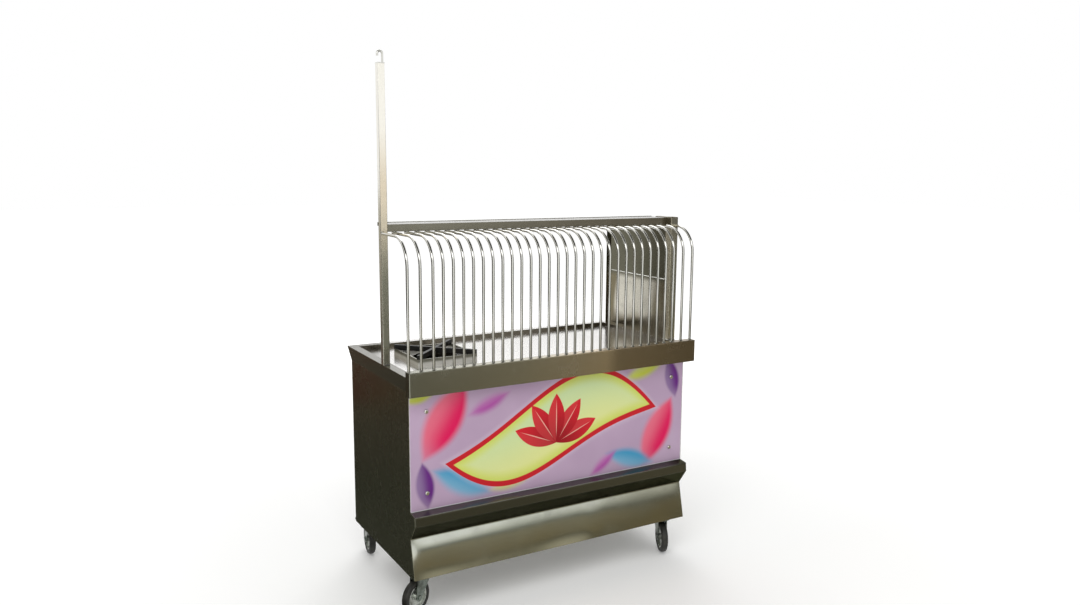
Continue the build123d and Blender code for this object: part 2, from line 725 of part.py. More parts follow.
# Valve stem and the knob on it
knob_y = neck_end_y + KNOB_GAP
stem_start = valve_back_y - STEM_IN + SWIVEL_PLAY
with BuildPart() as valve_stem:
    with BuildSketch(along_y(burner_x, stem_start, mixer_z)):
        Circle(STEM_R)
    extrude(amount=knob_y + STEM_IN_KNOB - stem_start)
save(valve_stem, "valve_stem")

with BuildPart() as gas_knob:
    with BuildSketch(along_y(burner_x, knob_y, mixer_z)):
        Circle(KNOB_R)
    extrude(amount=KNOB_DISC)
    with BuildSketch(along_y(burner_x, knob_y + KNOB_DISC, mixer_z)):
        Rectangle(KNOB_GRIP, 2 * sqrt(KNOB_R**2 - (KNOB_GRIP / 2) ** 2))
    extrude(amount=KNOB_BAR)
    fillet(gas_knob.edges().group_by(Axis.Y)[-1], KNOB_ROUND)
    with BuildSketch(along_y(burner_x, knob_y, mixer_z)):
        Circle(STEM_R)
    extrude(amount=STEM_IN_KNOB, mode=Mode.SUBTRACT)
save(gas_knob, "gas_knob")

# Hose nozzle: an arm from the valve's side, an elbow, and the nozzle held in the strip by its nut
inlet_start_x = burner_x + VALVE_SIZE / 2
inlet_turn_y = valve_back_y - INLET_ELBOW / 2
nozzle_y = strip_y + INLET_SHANK_OUT
with BuildPart() as gas_inlet:
    with BuildSketch(along_x(inlet_start_x, inlet_turn_y, mixer_z)):
        Circle(INLET_ARM_R)
    extrude(amount=INLET_ARM)
    with BuildSketch(along_y(inlet_x, valve_back_y - INLET_ELBOW, mixer_z)):
        Rectangle(INLET_ELBOW, INLET_ELBOW)
    extrude(amount=INLET_ELBOW)
    with BuildSketch(along_y(inlet_x, valve_back_y, mixer_z)):
        Circle(INLET_SHANK_R)
    extrude(amount=nozzle_y - valve_back_y)
    with BuildSketch(along_y(inlet_x, nozzle_y, mixer_z)):
        Circle(INLET_R)
    extrude(amount=INLET_LENGTH)
    with BuildSketch(along_x(inlet_start_x, inlet_turn_y, mixer_z)):
        Circle(INLET_BORE_R)
    extrude(amount=inlet_x - inlet_start_x, mode=Mode.SUBTRACT)
    with BuildSketch(along_y(inlet_x, inlet_turn_y, mixer_z)):
        Circle(INLET_BORE_R)
    extrude(amount=nozzle_y + INLET_LENGTH - inlet_turn_y, mode=Mode.SUBTRACT)
    with BuildSketch(along_y(inlet_x, strip_y, mixer_z)):
        RegularPolygon(INLET_NUT_WIDTH / 2, 6, major_radius=False)
        Circle(INLET_SHANK_R + THREAD_GAP, mode=Mode.SUBTRACT)
    extrude(amount=INLET_NUT_THICK)
save(gas_inlet, "gas_inlet")

# Caster places: pads welded under the frame, plates on them, and the swivels' heights
swivel_x = half_length - CASTER_END_INSET
swivel_front_y = front_y + CASTER_FRONT_INSET
swivel_back_y = back_y - CASTER_BACK_INSET
swivels = {
    "front_left": (-swivel_x, swivel_front_y),
    "front_right": (swivel_x, swivel_front_y),
    "rear_left": (-swivel_x, swivel_back_y),
    "rear_right": (swivel_x, swivel_back_y),
}
plate_under = CASTER_HEIGHT - PLATE_THICK
crown_under = WHEEL_D + CROWN_ABOVE_WHEEL
crown_top = crown_under + CROWN_THICK
race_bottom = crown_top + SWIVEL_PLAY
leg_in = TYRE_WIDTH / 2 + FORK_SIDE_GAP
leg_out = leg_in + FORK_SHEET
tyre_bore_r = wheel_r - TYRE_DEPTH

with BuildPart() as caster_pads:
    with BuildSketch(Plane.XY.offset(CASTER_HEIGHT)):
        with Locations(*swivels.values()):
            Rectangle(PAD_LENGTH, PAD_WIDTH)
    extrude(amount=PAD_THICK)
save(caster_pads, "caster_pads")

with BuildPart() as caster_plates:
    with BuildSketch(Plane.XY.offset(plate_under)):
        with Locations(*swivels.values()):
            RectangleRounded(PLATE_LENGTH, PLATE_WIDTH, PLATE_CORNER)
            with GridLocations(2 * STUD_X, 2 * STUD_Y, 2, 2):
                Circle(STUD_R + STUD_GAP, mode=Mode.SUBTRACT)
    extrude(amount=PLATE_THICK)
    for place in swivels.values():
        with BuildSketch(Plane((*place, plate_under))):
            Circle(RACE_TOP_R)
        with BuildSketch(Plane((*place, race_bottom))):
            Circle(RACE_R)
        loft()
    with BuildSketch(Plane.XY.offset(race_bottom)):
        with Locations(*swivels.values()):
            Circle(PIN_R + PIN_GAP)
    extrude(amount=CASTER_HEIGHT - race_bottom, mode=Mode.SUBTRACT)
save(caster_plates, "caster_plates")

# King pins: riveted in the plates, with a head under the fork's crown
pin_head_top = crown_under - SWIVEL_PLAY
with BuildPart() as king_pins:
    with BuildSketch(Plane.XY.offset(pin_head_top - PIN_HEAD)):
        with Locations(*swivels.values()):
            Circle(PIN_HEAD_R)
    extrude(amount=PIN_HEAD)
    with BuildSketch(Plane.XY.offset(pin_head_top)):
        with Locations(*swivels.values()):
            Circle(PIN_R)
    extrude(amount=CASTER_HEIGHT - pin_head_top)
save(king_pins, "king_pins")

# Studs welded to the pads, with a nut under each plate
with BuildPart() as caster_studs:
    stud_low = plate_under - STUD_NUT - STUD_END
    with BuildSketch(Plane.XY.offset(stud_low)):
        with Locations(*swivels.values()):
            with GridLocations(2 * STUD_X, 2 * STUD_Y, 2, 2):
                Circle(STUD_R)
    extrude(amount=CASTER_HEIGHT - stud_low)
    with BuildSketch(Plane.XY.offset(plate_under - STUD_NUT)):
        with Locations(*swivels.values()):
            with GridLocations(2 * STUD_X, 2 * STUD_Y, 2, 2):
                RegularPolygon(STUD_NUT_WIDTH / 2, 6, major_radius=False)
                Circle(STUD_R + THREAD_GAP, mode=Mode.SUBTRACT)
    extrude(amount=STUD_NUT)
save(caster_studs, "caster_studs")


def caster(corner, place, heading):
    """Fork, axle, hub and tyre of one caster, its wheel trailing along the heading."""
    ahead = Vector(cos(radians(heading)), sin(radians(heading)), 0)
    aside = Vector(sin(radians(heading)), -cos(radians(heading)), 0)
    level = Plane((*place, crown_under), x_dir=ahead, z_dir=(0, 0, 1))
    upright = Plane((*place, 0), x_dir=ahead, z_dir=aside)
    leg_half = sqrt(CROWN_R**2 - leg_out**2)
    axle_at = (TRAIL, wheel_r)

    with BuildPart() as fork:
        with BuildSketch(level):
            Circle(CROWN_R)
        extrude(amount=CROWN_THICK)
        for start in (leg_in, -leg_out):
            with BuildSketch(upright.offset(start)):
                Polygon(
                    (-leg_half, crown_top),
                    (leg_half, crown_top),
                    (TRAIL + EYE_R, wheel_r),
                    (TRAIL - EYE_R, wheel_r),
                    align=None,
                )
                with Locations(axle_at):
                    Circle(EYE_R)
                    Circle(AXLE_R + AXLE_GAP, mode=Mode.SUBTRACT)
            extrude(amount=FORK_SHEET)
        with BuildSketch(level):
            Circle(PIN_R + PIN_GAP)
        extrude(amount=CROWN_THICK, mode=Mode.SUBTRACT)
    save(fork, f"caster_fork_{corner}")

    with BuildPart() as axle:
        with BuildSketch(upright.offset(-leg_out)):
            with Locations(axle_at):
                Circle(AXLE_R)
        extrude(amount=2 * leg_out)
        for start in (leg_out, -leg_out - AXLE_HEAD):
            with BuildSketch(upright.offset(start)):
                with Locations(axle_at):
                    RegularPolygon(AXLE_HEAD_R, 6)
            extrude(amount=AXLE_HEAD)
    save(axle, f"caster_axle_{corner}")

    with BuildPart() as hub:
        with BuildSketch(upright):
            with Locations(axle_at):
                Circle(BARREL_R)
        extrude(amount=leg_in - HUB_GAP, both=True)
        with BuildSketch(upright):
            with Locations(axle_at):
                Circle(tyre_bore_r)
        extrude(amount=WEB_THICK / 2, both=True)
        with BuildSketch(upright):
            with Locations(axle_at):
                Circle(tyre_bore_r)
                Circle(tyre_bore_r - RIM_THICK, mode=Mode.SUBTRACT)
        extrude(amount=RIM_WIDTH / 2, both=True)
        with BuildSketch(upright):
            with Locations(axle_at):
                Circle(AXLE_R + AXLE_GAP)
        extrude(amount=leg_in, both=True, mode=Mode.SUBTRACT)
    save(hub, f"wheel_hub_{corner}")

    with BuildPart() as tyre:
        with BuildSketch(upright):
            with Locations(axle_at):
                Circle(wheel_r)
        extrude(amount=TYRE_WIDTH / 2, both=True)
        fillet(tyre.edges().filter_by(GeomType.CIRCLE), TYRE_SHOULDER)
        with BuildSketch(upright):
            with Locations(axle_at):
                Circle(tyre_bore_r)
        extrude(amount=TYRE_WIDTH / 2, both=True, mode=Mode.SUBTRACT)
    save(tyre, f"tyre_{corner}")


for corner, place in swivels.items():
    caster(corner, place, HEADINGS[corner])
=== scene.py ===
"""Looks of a tea counter: sheet steel on casters, a guard of bent rods, a printed front, a gas burner."""

import math
from collections import namedtuple

import bmesh
import bpy
import numpy as np
from mathutils import Matrix, Vector


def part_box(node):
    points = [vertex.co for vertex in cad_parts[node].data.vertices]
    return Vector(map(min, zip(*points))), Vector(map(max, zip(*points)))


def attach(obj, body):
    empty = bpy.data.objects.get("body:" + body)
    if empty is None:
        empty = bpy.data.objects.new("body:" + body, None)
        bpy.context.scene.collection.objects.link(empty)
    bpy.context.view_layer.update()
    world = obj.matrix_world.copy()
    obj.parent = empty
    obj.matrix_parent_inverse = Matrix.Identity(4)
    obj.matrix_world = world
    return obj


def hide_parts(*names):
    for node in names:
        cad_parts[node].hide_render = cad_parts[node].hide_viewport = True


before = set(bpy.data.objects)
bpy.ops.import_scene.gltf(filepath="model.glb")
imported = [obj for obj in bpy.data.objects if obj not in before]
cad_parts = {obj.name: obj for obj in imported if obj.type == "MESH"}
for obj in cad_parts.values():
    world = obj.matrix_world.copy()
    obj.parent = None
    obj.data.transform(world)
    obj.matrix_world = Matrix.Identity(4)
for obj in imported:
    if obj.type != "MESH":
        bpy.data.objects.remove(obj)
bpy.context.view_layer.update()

# Camera of the photograph, in metres and degrees, with its lens and sensor in millimetres
CAMERA_PLACE = Vector((-1.715, -3.0943, 1.600))
CAMERA_YAW = 30.38
CAMERA_PITCH = 8.85
CAMERA_ROLL = 0.41
CAMERA_LENS = 29.943
CAMERA_SENSOR = 36.0

# Sizes of the added pieces, in metres
SHEET = 0.0015
LEDGE_FALL = 0.005
LEDGE_LIP = 0.034
SKIRT_FLANGE = 0.012
SKIRT_ROLL = 0.0018
SKIRT_BULGE = 0.0020
SKIRT_FOOT = 0.0007
SKIRT_DENT = 0.0015
DENT_PLACE = 0.16
DENT_WIDTH = 0.035
ROD_R = 0.005
ROD_FOOT = 0.001
WELD_LEG = 0.0032
WELD_RIPPLE = 0.0003
TACK_R = 0.0024
TACK_LENGTH = 0.013
TRAY_DEPTH = 0.105
HEM_R = 0.0018
SEAM_R = 0.002
SEAM_HEIGHT = 1.126
CREASE = math.radians(40)

# Edges eased by the finish alone, and the height of brush lines, in metres
EDGE_ROUND = 0.0009
LEDGE_ROUND = 0.005
ROD_ROUND = 0.0004
IRON_ROUND = 0.0015
BRUSH_HEIGHT = 0.0000015

# Stretches over which a tone changes, in metres, most of them painted reflections: a rise goes up the
# counter, a run goes to the right and the worktop's corner lies to the left and back
SIDE_RISE = (0.15, 0.85)
APRON_LENGTH = 1.22
LEDGE_LIP_RUN = (-0.4, 0.5)
LEDGE_TOP_RUN = (0.5, 0.58)
SKIRT_RISE = (0.17, 0.27)
SKIRT_RUN = (-0.1, 0.55)
WORKTOP_CORNER = (0.55, 0.64)
MAST_RISE = (1.15, 1.5)
MAST_TOP_RISE = (1.5, 1.75)
RAIL_RUN = (-0.5, 0.45)
POST_RISE = (1.25, 1.37)
GUARD_RISE = (0.9, 0.97)
ROD_RISE = (0.94, 1.08)

# The same, as distances from an edge or a middle line
NOSE_FADE = (-0.009, 0.0)
CHIN_FADE = (-0.004, 0.003)
WORKTOP_END_FADE = (-0.02, -0.015)
WORKTOP_BORDER_FADE = (-0.05, -0.03)
SEAM_FADE = (-0.03, 0.0)
FRAME_FADE = (-0.004, 0.004)
PANEL_END_FADE = (-0.0022, -0.0014)
PANEL_FOOT_FADE = (-0.003, -0.0022)

# Part of a normal that points up, or left, where a face begins to count as such and where it fully does
# Faces picked by these get a painted reflection of their own
LEVEL_FACE = (0.3, 0.8)
LEFT_FACE = (0.6, 0.9)

# Printed swoosh: turn of its wave in radians a metre, lead in radians, taper in shares a metre, the rest
# in metres
SWOOSH_TURN = 5.6
SWOOSH_LEAD = 0.3
SWOOSH_RISE = 0.085
SWOOSH_HALF = 0.135
SWOOSH_TAPER = 0.72
SWOOSH_GLOW = 0.045
SWOOSH_PIPING = 0.021
SWOOSH_SOFT = 0.05
SWOOSH_SHADE = (-0.12, 0.12)
PRINT_EDGE = 0.003

# Printed leaves: middle (x, z), turn in degrees, half length and half width, softness of edge, colour
SOFT_LEAVES = (
    ((-0.465, 0.705), 58, (0.175, 0.085), 0.45, "dc1158"),
    ((-0.395, 0.470), 152, (0.150, 0.062), 0.65, "3f95bd"),
    ((-0.540, 0.480), 97, (0.095, 0.042), 0.40, "64277c"),
    ((-0.290, 0.745), 22, (0.110, 0.040), 0.85, "ab479f"),
    ((-0.560, 0.800), 10, (0.070, 0.030), 0.80, "bcc43a"),
    ((-0.190, 0.440), 12, (0.120, 0.038), 0.80, "bcc43a"),
    ((0.470, 0.530), 62, (0.165, 0.080), 0.45, "dc1158"),
    ((0.340, 0.440), 163, (0.140, 0.052), 0.65, "3f95bd"),
    ((0.540, 0.745), 104, (0.095, 0.042), 0.40, "64277c"),
    ((0.400, 0.790), 16, (0.120, 0.042), 0.80, "bcc43a"),
    ((0.210, 0.440), 35, (0.090, 0.034), 0.85, "ab479f"),
)
LEAF_PALE = 0.14
SPRIG_TURNS = (22, 158, 56, 124, 90)
SPRIG_FOOT = (-0.005, 0.556)
SPRIG_HALF = 0.096
SPRIG_WIDTH = 0.037
VEIN_HALF = 0.84 * SPRIG_HALF
VEIN_WIDTH = 0.0026

# Studio: reach of the floor, height of what lies on it, its glow near and far, and the lamps, each with
# its place, the point that it aims at and its power
FLOOR_REACH = 30.0
CLOTH_HEIGHT = 0.004
GLOW_NEAR = (0.1, 0.1, 0.1, 1.0)
GLOW_FAR = (0.44, 0.44, 0.44, 1.0)
WHITE = (1.0, 1.0, 1.0, 1.0)
LAMP_SIZE = 4.4
LAMPS = (
    ("key_lamp", (-2.6, -3.4, 5.0), (0.0, 0.0, 0.6), 130.0),
    ("back_lamp", (1.5, 4.0, 5.0), (0.0, 0.0, 0.9), 140.0),
)

CORNERS = ("front_left", "front_right", "rear_left", "rear_right")
ENDS = ("left", "right")
ROWS = ("front", "rear")

skirt_low, skirt_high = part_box("front_skirt")
panel_low, panel_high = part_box("front_print_panel")
apron_low, apron_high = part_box("front_apron")
worktop_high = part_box("worktop")[1]
mast_low, mast_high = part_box("mast")
post_low, post_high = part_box("right_post")
rail_low, rail_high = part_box("guard_rail")
tray_low, tray_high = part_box("guard_tray")
guard_low, guard_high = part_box("right_guard_panel")
frame_low, frame_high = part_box("support_frame")
rail_left_y = mast_low.y
rail_right_y = rail_low.y
ledge_nose = panel_low.z - LEDGE_FALL
ledge_chin = ledge_nose - LEDGE_LIP

Axes = namedtuple("Axes", "x y z")


def shade(code):
    """Linear colour with alpha from six hexadecimal digits of a display colour."""
    parts = np.array([int(code[i:i + 2], 16) for i in (0, 2, 4)]) / 255
    linear = np.where(parts <= 0.04045, parts / 12.92, ((parts + 0.055) / 1.055) ** 2.4)
    return (*linear.tolist(), 1.0)


class Wire:
    """One output socket of a finish; arithmetic with it adds Math nodes."""

    def __init__(self, finish, socket):
        self.finish = finish
        self.socket = socket

    def math(self, operation, *others):
        """Math node on this value and the others, in that order."""
        return self.finish.node("ShaderNodeMath", dict(enumerate((self, *others))), operation=operation)

    def __add__(self, other):
        return self.math("ADD", other)

    def __sub__(self, other):
        return self.math("SUBTRACT", other)

    def __rsub__(self, other):
        return self.finish.node("ShaderNodeMath", {0: other, 1: self}, operation="SUBTRACT")

    def __mul__(self, other):
        return self.math("MULTIPLY", other)

    def __truediv__(self, other):
        return self.math("DIVIDE", other)

    __radd__ = __add__
    __rmul__ = __mul__


class Finish:
    """Node tree of a material or of the world; node() adds every node of it."""

    def __init__(self, owner):
        self.owner = owner
        owner.use_nodes = True
        self.tree = owner.node_tree
        self.tree.nodes.clear()

    def node(self, kind, inputs=None, output=0, stops=None, **settings):
        """Add a node: its settings first, then the values or links of its sockets; gives one output."""
        added = self.tree.nodes.new(kind)
        for key, value in settings.items():
            setattr(added, key, value)
        if stops:
            ramp = added.color_ramp
            while len(ramp.elements) < len(stops):
                ramp.elements.new(1.0)
            for element, (place, colour) in zip(ramp.elements, stops):
                element.position = place
                element.color = colour
        for key, value in (inputs or {}).items():
            if isinstance(value, Wire):
                self.tree.links.new(value.socket, added.inputs[key])
            else:
                added.inputs[key].default_value = value
        return Wire(self, added.outputs[output]) if len(added.outputs) else None

    def place(self):
        """The object's own coordinates, in metres, as a vector."""
        return self.node("ShaderNodeTexCoord", output="Object")

    def axes(self, vector):
        """The three numbers of a vector, named x, y and z."""
        parts = self.node("ShaderNodeSeparateXYZ", {0: vector})
        return Axes(*(Wire(self, socket) for socket in parts.socket.node.outputs))

    def here(self):
        """The object's own coordinates, in metres, as three numbers."""
        return self.axes(self.place())

    def facing(self):
        """The way that the surface faces, as the three numbers of its normal."""
        return self.axes(self.node("ShaderNodeNewGeometry", output="Normal"))

    def cloud(self, scale, detail=2.0, stretch=(1.0, 1.0, 1.0)):
        """Soft noise from 0 to 1, about so many lumps a metre, squeezed along the axes by the stretch."""
        spread = self.node("ShaderNodeMapping", {"Vector": self.place(), "Scale": stretch})
        return self.node("ShaderNodeTexNoise", {"Vector": spread, "Scale": scale, "Detail": detail})

    def step(self, value, start, end):
        """Smooth rise from 0 to 1 between two values."""
        limits = {"Value": value, "From Min": start, "From Max": end}
        return self.node("ShaderNodeMapRange", limits, interpolation_type="SMOOTHSTEP")

    def mix(self, share, low, high):
        """Colour between two colours."""
        return self.node("ShaderNodeMix", {0: share, 6: low, 7: high}, output=2, data_type="RGBA")

    def ramp(self, value, *stops):
        """Colour that runs through stops, given as (value from 0 to 1, colour)."""
        return self.node("ShaderNodeValToRGB", {0: value}, stops=stops)

    def bump(self, height, rounded=EDGE_ROUND):
        """Normal of a surface raised by a height in metres, with its edges eased."""
        eased = self.node("ShaderNodeBevel", {"Radius": rounded}, samples=4)
        return self.node("ShaderNodeBump", {"Height": height, "Distance": 1.0, "Normal": eased})

    def surface(self, **sockets):
        """Principled shader with these sockets, joined to the output."""
        names = {name.replace("_", " "): value for name, value in sockets.items()}
        shader = self.node("ShaderNodeBsdfPrincipled", names)
        self.node("ShaderNodeOutputMaterial", {"Surface": shader})
        return self.owner


def new_finish(name):
    """An empty material under this name."""
    return Finish(bpy.data.materials.new(name))


def steel(name, tone, rough, dents=0.0006, grain=(1.0, 1.0, 30.0), metal=1.0, rim=WHITE, worn=1.0,
          ease=EDGE_ROUND):
    """Steel sheet or tube: tone(finish) gives its colour, with brush lines, smears and dents over it."""
    finish = new_finish(name)
    lines = finish.cloud(60.0, 3.0, grain)
    smears = finish.cloud(7.0, 4.0)
    marks = finish.step(finish.cloud(13.0, 2.0), 0.5, 0.8)
    dulled = finish.mix((0.3 * smears + 0.08 * marks) * worn, tone(finish), shade("5c5a50"))
    swell = finish.cloud(4.5, 1.0) * dents + lines * BRUSH_HEIGHT
    return finish.surface(
        Base_Color=dulled,
        Metallic=metal,
        Roughness=0.1 * smears + 0.06 * marks + 0.06 * lines + (rough - 0.08),
        Specular_Tint=rim,
        Normal=finish.bump(swell, ease),
    )


def side_tone(finish):
    """Olive grey, greener and darker low down as a painted reflection, with slow clouds in it."""
    # Painted reflection: the tone lightens up the panel
    rise = finish.step(finish.here().z, *SIDE_RISE)
    olive = finish.mix(rise, shade("9b9d88"), shade("bab29e"))
    return finish.mix(finish.cloud(3.2, 2.0) * 0.6, olive, shade("8b8b7b"))


def apron_tone(finish):
    """Painted reflections: grey-green at the apron's left, a tan patch past the middle and brown at the
    right.
    """
    along = finish.here().x / APRON_LENGTH + 0.5 + (finish.cloud(3.0) - 0.5) * 0.06
    # Painted reflections laid along the apron by the ramp
    return finish.ramp(
        along,
        (0.0, shade("8d8d80")),
        (0.36, shade("b3ad9a")),
        (0.65, shade("d4c1a2")),
        (0.70, shade("a7967c")),
        (1.0, shade("93836b")),
    )


def ledge_tone(finish):
    """Painted reflections: mid grey top, dark at its right end and on its lip; darker painted shade under
    it.
    """
    here = finish.here()
    # Painted reflections on the lip and on the level top
    lip = finish.mix(finish.step(here.x, *LEDGE_LIP_RUN), shade("666860"), shade("7a7a70"))
    level = finish.mix(finish.step(here.x, *LEDGE_TOP_RUN), shade("8c8c86"), shade("5c5b50"))
    upper = finish.mix(finish.step(here.z - ledge_nose, *NOSE_FADE), lip, level)
    # Painted shade under the ledge's chin
    return finish.mix(finish.step(here.z - ledge_chin, *CHIN_FADE), shade("4c4d43"), upper)


def skirt_tone(finish):
    """Painted reflections: light grey-green at the skirt's top, olive towards its foot, duller to the
    right.
    """
    here = finish.here()
    # Painted reflection: bright surround at the top, olive ground towards the foot
    rise = finish.step(here.z + (finish.cloud(4.0, 1.0) - 0.5) * 0.08, *SKIRT_RISE)
    sky_and_ground_reflection = finish.mix(rise, shade("b6b096"), shade("d3d6cb"))
    return finish.mix(finish.step(here.x, *SKIRT_RUN) * 0.5, sky_and_ground_reflection, shade("938b73"))


def tray_tone(finish):
    """Grey tray with a painted reflection: its level face a little duller than its upright edges."""
    # Painted reflection: level faces get the duller grey
    level = finish.step(finish.facing().z, *LEVEL_FACE)
    return finish.mix(level, shade("a3a096"), shade("96958f"))


def worktop_tone(finish):
    """Painted reflections: bright level faces, duller left border and rear left corner, olive steep faces.
    """
    here = finish.here()
    # Painted reflections: level faces bright, steep faces olive, the left border and rear left corner dull
    level = finish.step(finish.facing().z, *LEVEL_FACE)
    outside = finish.step(here.x.math("ABSOLUTE") - worktop_high.x, *WORKTOP_END_FADE)
    steep = finish.mix(outside, shade("716b60"), shade("b0a798"))
    border = finish.step(here.x * -1.0 - worktop_high.x, *WORKTOP_BORDER_FADE)
    corner = finish.step(here.y * 0.5 - here.x, *WORKTOP_CORNER)
    flat = finish.mix(border.math("MAXIMUM", corner), shade("f4f2ef"), shade("848279"))
    return finish.mix(level, steep, flat)


def mast_tone(finish):
    """Painted reflections and highlight: olive grey foot, tan above the rail, pale top and pale left face.
    """
    here = finish.here()
    # Painted reflections up the mast and on its left face, and a painted highlight at its top
    left = finish.step(finish.facing().x * -1.0, *LEFT_FACE)
    lower = finish.mix(finish.step(here.z, *MAST_RISE), shade("9e9d8e"), shade("e9dcc4"))
    front = finish.mix(finish.step(here.z, *MAST_TOP_RISE), lower, shade("fdfaf0"))
    return finish.mix(left, front, shade("f2efe6"))


def rail_tone(finish):
    """Olive grey guard rail, end bar and tray hem, with a browner painted reflection towards the right."""
    # Painted reflection: browner towards the right
    return finish.mix(finish.step(finish.here().x, *RAIL_RUN), shade("807d70"), shade("655e50"))


def post_tone(finish):
    """Grey tan of the right post, with a darker painted reflection towards its top."""
    # Painted reflection: darker towards the top
    return finish.mix(finish.step(finish.here().z, *POST_RISE), shade("cfc8b2"), shade("b0aa98"))


def guard_tone(finish):
    """Painted reflections: dark olive above the seam, olive brown with pale upright patches below, dark
    foot.
    """
    height = finish.here().z
    # Painted reflections: pale patches and a dark foot below the seam, dark olive above it
    patch = finish.step(finish.cloud(7.0, 1.0, (1.0, 1.0, 0.3)), 0.45, 0.58)
    patched = finish.mix(patch, shade("7c7359"), shade("d3cfc2"))
    lower = finish.mix(finish.step(height, *GUARD_RISE), shade("6a6250"), patched)
    return finish.mix(finish.step(height - SEAM_HEIGHT, *SEAM_FADE), lower, shade("646252"))


def inner_tone(finish):
    """Plain mill grey of what lies inside, and of the welds."""
    return finish.mix(finish.cloud(3.0), shade("8d8c84"), shade("b1b0a8"))


def frame_tone(finish):
    """Pan support's frame: bright lower half as a painted reflection of the worktop, duller upper half."""
    middle = (frame_low.z + frame_high.z) / 2
    # Painted reflection of the worktop on the lower half; the upper half keeps the duller grey
    upper_half = finish.step(finish.here().z - middle, *FRAME_FADE)
    return finish.mix(upper_half, shade("e6e5e0"), shade("96958b"))


def rod_chrome(name, foot):
    """Polished rod with faint draw marks along it, in another colour towards its foot as a painted
    reflection.
    """
    finish = new_finish(name)
    haze = finish.cloud(12.0, 4.0)
    draw = finish.cloud(300.0, 2.0, (1.0, 1.0, 0.05))
    bright = finish.mix(haze, shade("c6c5be"), shade("e4e3de"))
    return finish.surface(
        # Painted reflection: the foot colour below the rise
        Base_Color=finish.mix(finish.step(finish.here().z, *ROD_RISE), shade(foot), bright),
        Metallic=1.0,
        Roughness=0.06 * haze + 0.05 * draw + 0.05,
        Normal=finish.bump(draw * 0.00001, ROD_ROUND),
    )


def zinc():
    """Zinc plate with its dull spangle and grime."""
    finish = new_finish("zinc_plate")
    cells = {"Vector": finish.place(), "Scale": 160.0}
    flake = finish.axes(finish.node("ShaderNodeTexVoronoi", cells, output="Color")).x
    grime = finish.step(finish.cloud(22.0, 5.0), 0.45, 0.75)
    plate = finish.mix(flake, shade("727a74"), shade("8f968e"))
    return finish.surface(
        Base_Color=finish.mix(grime * 0.75, plate, shade("33342e")),
        Metallic=1.0,
        Roughness=0.2 * grime + 0.1 * flake + 0.26,
        Normal=finish.bump(finish.cloud(90.0, 3.0) * 0.00012),
    )


def tyre_rubber():
    """Black rubber with dust in patches."""
    finish = new_finish("tyre_rubber")
    dust = finish.step(finish.cloud(40.0, 5.0), 0.42, 0.75)
    return finish.surface(
        Base_Color=finish.mix(dust, shade("15150f"), shade("33322c")),
        Roughness=0.2 * dust + 0.5,
        Normal=finish.bump(finish.cloud(400.0, 3.0) * 0.0001),
    )


def hub_alloy():
    """Pale cast alloy of the wheel bodies, with dirt in it."""
    finish = new_finish("hub_alloy")
    dirt = finish.step(finish.cloud(28.0, 5.0), 0.4, 0.8)
    return finish.surface(
        Base_Color=finish.mix(dirt, shade("c3c7c0"), shade("6c6d65")),
        Metallic=0.85,
        Roughness=0.25 * dirt + 0.22,
        Normal=finish.bump(finish.cloud(150.0) * 0.00008),
    )


def cast_iron():
    """Black cast iron with a sandy skin and a trace of rust."""
    finish = new_finish("cast_iron")
    skin = finish.cloud(320.0, 4.0)
    rust = finish.step(finish.cloud(24.0, 5.0), 0.58, 0.8)
    return finish.surface(
        Base_Color=finish.mix(rust * 0.6, shade("1d1c1a"), shade("4a3226")),
        Metallic=0.35,
        Roughness=0.25 * skin + 0.4,
        Normal=finish.bump(skin * 0.0004, IRON_ROUND),
    )


def brass():
    """Turned brass, browned in patches."""
    finish = new_finish("brass")
    tarnish = finish.step(finish.cloud(45.0, 4.0), 0.4, 0.75)
    return finish.surface(
        Base_Color=finish.mix(tarnish, shade("d8b765"), shade("8a6a35")),
        Metallic=1.0,
        Roughness=0.25 * tarnish + 0.22,
        Normal=finish.bump(finish.cloud(500.0) * 0.00003),
    )


def knob_plastic():
    """Black moulded knob with a fine texture."""
    finish = new_finish("knob_plastic")
    grain = finish.cloud(900.0, 2.0)
    return finish.surface(
        Base_Color=finish.mix(grain, shade("121212"), shade("262626")),
        Roughness=0.2 * grain + 0.35,
        Normal=finish.bump(grain * 0.00008),
    )


def leaf(finish, centre, turn, size, soft):
    """Mask of a pointed leaf, 1 between the two arcs that meet at its ends, and the places along and
    across it, which run from -1 to 1."""
    spot = {
        "Vector": finish.place(),
        "Location": (centre[0], 0.0, centre[1]),
        "Rotation": (0.0, -math.radians(turn), 0.0),
        "Scale": (size[0], 1.0, size[1]),
    }
    own = finish.axes(finish.node("ShaderNodeMapping", spot, vector_type="TEXTURE"))
    inside = 1.0 - own.x * own.x - own.z.math("ABSOLUTE")
    return finish.step(inside, 0.0, soft), own.x, own.z


def soft_leaves(finish, colour):
    """Bright leaves with soft edges laid over a colour, fading towards their stalks, paler on one side."""
    for centre, turn, size, soft, code in SOFT_LEAVES:
        mask, along, across = leaf(finish, centre, turn, size, soft)
        pale = tuple(part + LEAF_PALE * (1.0 - part) for part in shade(code))
        tint = finish.mix(finish.step(across, -0.5, 0.6), shade(code), pale)
        colour = finish.mix(mask * finish.step(along, -1.5, -0.3), colour, tint)
    return colour


